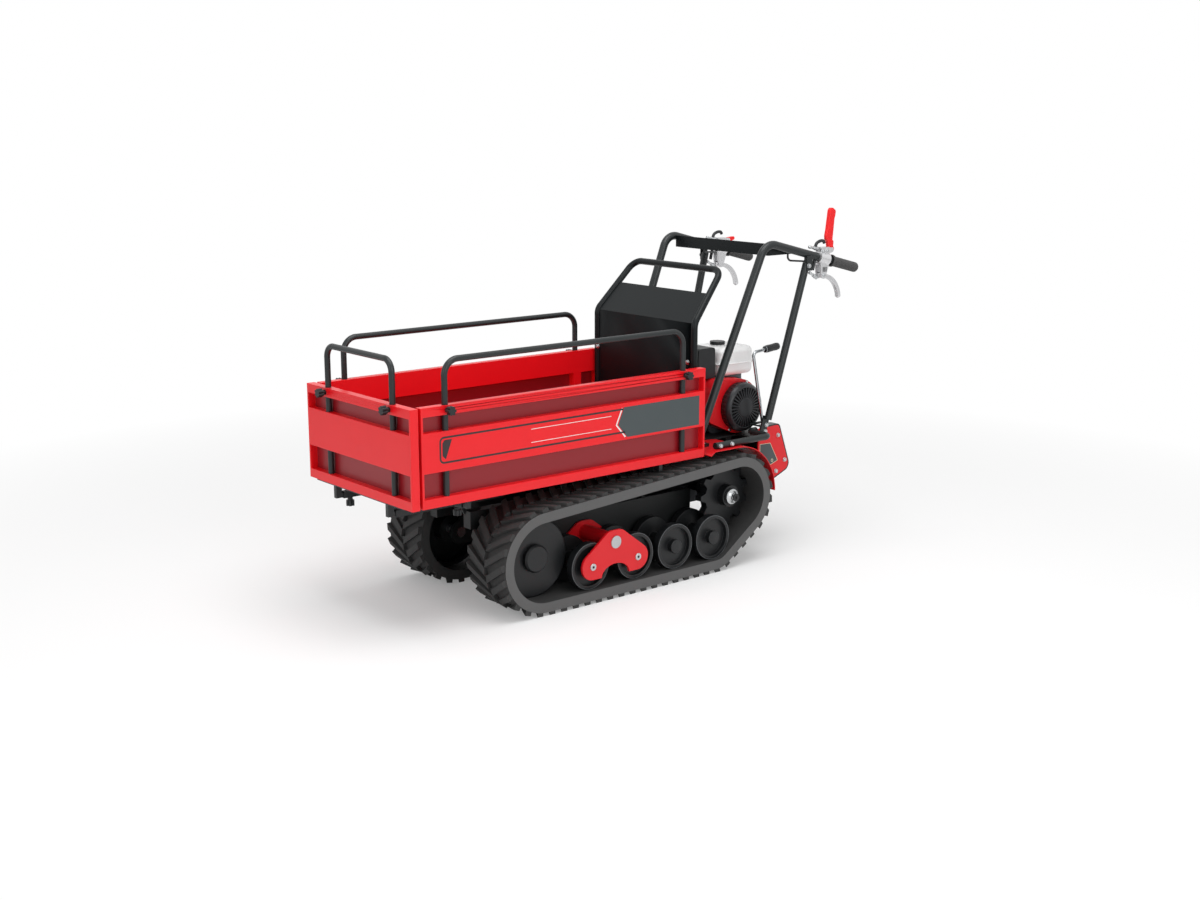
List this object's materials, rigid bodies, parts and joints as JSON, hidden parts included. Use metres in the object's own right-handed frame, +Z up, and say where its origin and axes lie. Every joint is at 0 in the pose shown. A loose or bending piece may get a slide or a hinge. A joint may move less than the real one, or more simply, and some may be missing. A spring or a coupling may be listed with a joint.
{
  "type": "tracked power carrier",
  "caption": "Walk-behind carrier on rubber tracks with a tipping load box whose sides pull out, lift-up rails, a small petrol engine and handlebars.",
  "frame": {"origin": "middle of the bounding box on the ground", "axes": "+X forwards, +Y to the operator's left, +Z up"},
  "size_m": [2.0845, 0.694, 1.2852],
  "materials": {
    "red_paint": "gloss paint",
    "black_paint": "satin black paint",
    "slate_paint": "gloss black paint",
    "track_rubber": "moulded rubber",
    "bare_steel": "bare steel",
    "cast_aluminium": "cast",
    "white_plastic": "smooth",
    "black_plastic": "moulded",
    "grip_rubber": "moulded grip",
    "dark_castings": "dark paint",
    "red_plastic": "moulded",
    "chrome_rod": "plated"
  },
  "bodies": {
    "chassis": {"chassis_frame": "black_paint", "axle_pins": "bare_steel", "track_belt_left": "track_rubber", "track_belt_right": "track_rubber", "gearbox": "cast_aluminium", "casing_plates": "red_paint", "rear_covers": "black_paint", "mudguards": "red_paint", "guard_bars": "black_paint", "engine_block": "cast_aluminium", "fan_shroud": "red_paint", "recoil_cover": "black_plastic", "fuel_tank": "white_plastic", "air_cleaner": "black_plastic", "muffler": "bare_steel", "drive_belt": "track_rubber", "handlebars": "black_paint", "dash_plate": "slate_paint", "grips": "grip_rubber", "lever_perches": "cast_aluminium", "control_cables": "black_plastic"},
    "bed": {"bed_frame": "red_paint", "headboard": "slate_paint"},
    "panel_left": {"panel_left": "red_paint"},
    "panel_right": {"panel_right": "red_paint"},
    "panel_front": {"panel_front": "red_paint"},
    "rail_left": {"rail_left": "black_paint"},
    "rail_right": {"rail_right": "black_paint"},
    "rail_front": {"rail_front": "black_paint"},
    "clamp_knob_left_front": {"clamp_knob_left_front": "black_plastic"},
    "clamp_knob_left_rear": {"clamp_knob_left_rear": "black_plastic"},
    "clamp_knob_front_left": {"clamp_knob_front_left": "black_plastic"},
    "clamp_knob_right_front": {"clamp_knob_right_front": "black_plastic"},
    "clamp_knob_right_rear": {"clamp_knob_right_rear": "black_plastic"},
    "clamp_knob_front_right": {"clamp_knob_front_right": "black_plastic"},
    "lock_knob_left": {"lock_knob_left": "black_plastic"},
    "lock_knob_right": {"lock_knob_right": "black_plastic"},
    "lock_knob_front": {"lock_knob_front": "black_plastic"},
    "sprocket_left": {"sprocket_left": "dark_castings"},
    "idler_left": {"idler_left": "dark_castings"},
    "rocker_left": {"rocker_left": "red_paint"},
    "roller_left_1": {"roller_left_1": "dark_castings"},
    "roller_left_2": {"roller_left_2": "dark_castings"},
    "roller_left_3": {"roller_left_3": "dark_castings"},
    "roller_left_4": {"roller_left_4": "dark_castings"},
    "sprocket_right": {"sprocket_right": "dark_castings"},
    "idler_right": {"idler_right": "dark_castings"},
    "rocker_right": {"rocker_right": "red_paint"},
    "roller_right_1": {"roller_right_1": "dark_castings"},
    "roller_right_2": {"roller_right_2": "dark_castings"},
    "roller_right_3": {"roller_right_3": "dark_castings"},
    "roller_right_4": {"roller_right_4": "dark_castings"},
    "engine_pulley": {"engine_pulley": "bare_steel"},
    "gearbox_pulley": {"gearbox_pulley": "bare_steel"},
    "fuel_cap": {"fuel_cap": "black_plastic"},
    "clutch_lever_left": {"clutch_lever_left": "cast_aluminium"},
    "clutch_lever_right": {"clutch_lever_right": "cast_aluminium"},
    "drive_lever": {"drive_lever": "red_plastic"},
    "throttle_lever": {"throttle_lever": "red_plastic"},
    "gear_lever": {"gear_lever": "chrome_rod"}
  },
  "joints": [
    {"name": "box_tip", "type": "hinge", "parent": "chassis", "child": "bed", "pos_m": [0.682, 0, 0.398], "axis": [0, 1, 0], "range_deg": [0, 45]},
    {"name": "panel_left_pull", "type": "slide", "parent": "bed", "child": "panel_left", "axis": [0, 1, 0], "range_m": [0, 0.185]},
    {"name": "panel_right_pull", "type": "slide", "parent": "bed", "child": "panel_right", "axis": [0, -1, 0], "range_m": [0, 0.185]},
    {"name": "panel_front_pull", "type": "slide", "parent": "bed", "child": "panel_front", "axis": [1, 0, 0], "range_m": [0, 0.185]},
    {"name": "rail_left_lift", "type": "slide", "parent": "panel_left", "child": "rail_left", "axis": [0, 0, 1], "range_m": [0, 0.15]},
    {"name": "rail_right_lift", "type": "slide", "parent": "panel_right", "child": "rail_right", "axis": [0, 0, 1], "range_m": [0, 0.15]},
    {"name": "rail_front_lift", "type": "slide", "parent": "panel_front", "child": "rail_front", "axis": [0, 0, 1], "range_m": [0, 0.15]},
    {"name": "clamp_knob_left_front_turn", "type": "hinge", "parent": "panel_left", "child": "clamp_knob_left_front", "pos_m": [0.875, 0.315, 0.738], "axis": [0, 1, 0], "range_deg": [0, 360]},
    {"name": "clamp_knob_left_rear_turn", "type": "hinge", "parent": "panel_left", "child": "clamp_knob_left_rear", "pos_m": [-0.127, 0.315, 0.738], "axis": [0, 1, 0], "range_deg": [0, 360]},
    {"name": "clamp_knob_front_left_turn", "type": "hinge", "parent": "panel_front", "child": "clamp_knob_front_left", "pos_m": [1.012, 0.196, 0.738], "axis": [1, 0, 0], "range_deg": [0, 360]},
    {"name": "clamp_knob_right_front_turn", "type": "hinge", "parent": "panel_right", "child": "clamp_knob_right_front", "pos_m": [0.875, -0.315, 0.738], "axis": [0, -1, 0], "range_deg": [0, 360]},
    {"name": "clamp_knob_right_rear_turn", "type": "hinge", "parent": "panel_right", "child": "clamp_knob_right_rear", "pos_m": [-0.127, -0.315, 0.738], "axis": [0, -1, 0], "range_deg": [0, 360]},
    {"name": "clamp_knob_front_right_turn", "type": "hinge", "parent": "panel_front", "child": "clamp_knob_front_right", "pos_m": [1.012, -0.196, 0.738], "axis": [1, 0, 0], "range_deg": [0, 360]},
    {"name": "lock_knob_left_turn", "type": "hinge", "parent": "bed", "child": "lock_knob_left", "pos_m": [0.797, 0.245, 0.4044], "axis": [0, 0, -1], "range_deg": [0, 360]},
    {"name": "lock_knob_right_turn", "type": "hinge", "parent": "bed", "child": "lock_knob_right", "pos_m": [0.797, -0.245, 0.4044], "axis": [0, 0, -1], "range_deg": [0, 360]},
    {"name": "lock_knob_front_turn", "type": "hinge", "parent": "bed", "child": "lock_knob_front", "pos_m": [0.952, -0.16, 0.3818], "axis": [0, 0, -1], "range_deg": [0, 360]},
    {"name": "sprocket_left_spin", "type": "hinge", "parent": "chassis", "child": "sprocket_left", "pos_m": [-0.38, 0.247, 0.258], "axis": [0, 1, 0], "continuous": true},
    {"name": "idler_left_spin", "type": "hinge", "parent": "chassis", "child": "idler_left", "pos_m": [0.512, 0.251, 0.1833], "axis": [0, 1, 0], "continuous": true},
    {"name": "rocker_left_rock", "type": "hinge", "parent": "chassis", "child": "rocker_left", "pos_m": [0.21, 0.251, 0.1993], "axis": [0, 1, 0], "range_deg": [-6, 6], "deforming": ["track_belt_left"]},
    {"name": "roller_left_1_spin", "type": "hinge", "parent": "rocker_left", "child": "roller_left_1", "pos_m": [0.311, 0.251, 0.1283], "axis": [0, 1, 0], "continuous": true},
    {"name": "roller_left_2_spin", "type": "hinge", "parent": "rocker_left", "child": "roller_left_2", "pos_m": [0.109, 0.251, 0.1283], "axis": [0, 1, 0], "continuous": true},
    {"name": "roller_left_3_spin", "type": "hinge", "parent": "chassis", "child": "roller_left_3", "pos_m": [-0.078, 0.251, 0.1283], "axis": [0, 1, 0], "continuous": true},
    {"name": "roller_left_4_spin", "type": "hinge", "parent": "chassis", "child": "roller_left_4", "pos_m": [-0.262, 0.251, 0.1283], "axis": [0, 1, 0], "continuous": true},
    {"name": "sprocket_right_spin", "type": "hinge", "parent": "chassis", "child": "sprocket_right", "pos_m": [-0.38, -0.247, 0.258], "axis": [0, 1, 0], "continuous": true},
    {"name": "idler_right_spin", "type": "hinge", "parent": "chassis", "child": "idler_right", "pos_m": [0.512, -0.251, 0.1833], "axis": [0, 1, 0], "continuous": true},
    {"name": "rocker_right_rock", "type": "hinge", "parent": "chassis", "child": "rocker_right", "pos_m": [0.21, -0.251, 0.1993], "axis": [0, 1, 0], "range_deg": [-6, 6], "deforming": ["track_belt_right"]},
    {"name": "roller_right_1_spin", "type": "hinge", "parent": "rocker_right", "child": "roller_right_1", "pos_m": [0.311, -0.251, 0.1283], "axis": [0, 1, 0], "continuous": true},
    {"name": "roller_right_2_spin", "type": "hinge", "parent": "rocker_right", "child": "roller_right_2", "pos_m": [0.109, -0.251, 0.1283], "axis": [0, 1, 0], "continuous": true},
    {"name": "roller_right_3_spin", "type": "hinge", "parent": "chassis", "child": "roller_right_3", "pos_m": [-0.078, -0.251, 0.1283], "axis": [0, 1, 0], "continuous": true},
    {"name": "roller_right_4_spin", "type": "hinge", "parent": "chassis", "child": "roller_right_4", "pos_m": [-0.262, -0.251, 0.1283], "axis": [0, 1, 0], "continuous": true},
    {"name": "gearbox_pulley_spin", "type": "hinge", "parent": "chassis", "child": "gearbox_pulley", "pos_m": [-0.4, -0.133, 0.362], "axis": [0, 1, 0], "continuous": true},
    {"name": "engine_pulley_spin", "type": "hinge", "parent": "chassis", "child": "engine_pulley", "pos_m": [-0.596, -0.133, 0.541], "axis": [0, 1, 0], "continuous": true},
    {"name": "fuel_cap_turn", "type": "hinge", "parent": "chassis", "child": "fuel_cap", "pos_m": [-0.59, -0.006, 0.766], "axis": [0, 0, 1], "range_deg": [0, 360]},
    {"name": "clutch_lever_left_pull", "type": "hinge", "parent": "chassis", "child": "clutch_lever_left", "pos_m": [-0.85084, 0.27642, 1.03602], "axis": [0, 1, 0], "range_deg": [0, 25], "stiffness_Nm_per_rad": 3, "springref_deg": -11.46},
    {"name": "clutch_lever_right_pull", "type": "hinge", "parent": "chassis", "child": "clutch_lever_right", "pos_m": [-0.85084, -0.27642, 1.03602], "axis": [0, 1, 0], "range_deg": [0, 25], "stiffness_Nm_per_rad": 3, "springref_deg": -11.46},
    {"name": "drive_lever_press", "type": "hinge", "parent": "chassis", "child": "drive_lever", "pos_m": [-0.89347, 0.27796, 1.12925], "axis": [0, -1, 0], "range_deg": [0, 60], "stiffness_Nm_per_rad": 1.5, "springref_deg": -17.19},
    {"name": "throttle_lever_turn", "type": "hinge", "parent": "chassis", "child": "throttle_lever", "pos_m": [-0.89347, -0.27796, 1.12925], "axis": [0, 1, 0], "range_deg": [0, 50]},
    {"name": "gear_lever_shift", "type": "hinge", "parent": "chassis", "child": "gear_lever", "pos_m": [-0.655, 0.186, 0.452], "axis": [0, 1, 0], "range_deg": [-10, 10]}
  ],
  "couplings": [
    {"joint": "idler_left_spin", "follows": "sprocket_left_spin", "ratio": 0.86861},
    {"joint": "roller_left_1_spin", "follows": "sprocket_left_spin", "ratio": 1.4512},
    {"joint": "roller_left_2_spin", "follows": "sprocket_left_spin", "ratio": 1.4512},
    {"joint": "roller_left_3_spin", "follows": "sprocket_left_spin", "ratio": 1.4512},
    {"joint": "roller_left_4_spin", "follows": "sprocket_left_spin", "ratio": 1.4512},
    {"joint": "idler_right_spin", "follows": "sprocket_right_spin", "ratio": 0.86861},
    {"joint": "roller_right_1_spin", "follows": "sprocket_right_spin", "ratio": 1.4512},
    {"joint": "roller_right_2_spin", "follows": "sprocket_right_spin", "ratio": 1.4512},
    {"joint": "roller_right_3_spin", "follows": "sprocket_right_spin", "ratio": 1.4512},
    {"joint": "roller_right_4_spin", "follows": "sprocket_right_spin", "ratio": 1.4512},
    {"joint": "engine_pulley_spin", "follows": "gearbox_pulley_spin", "ratio": 1.4737}
  ]
}
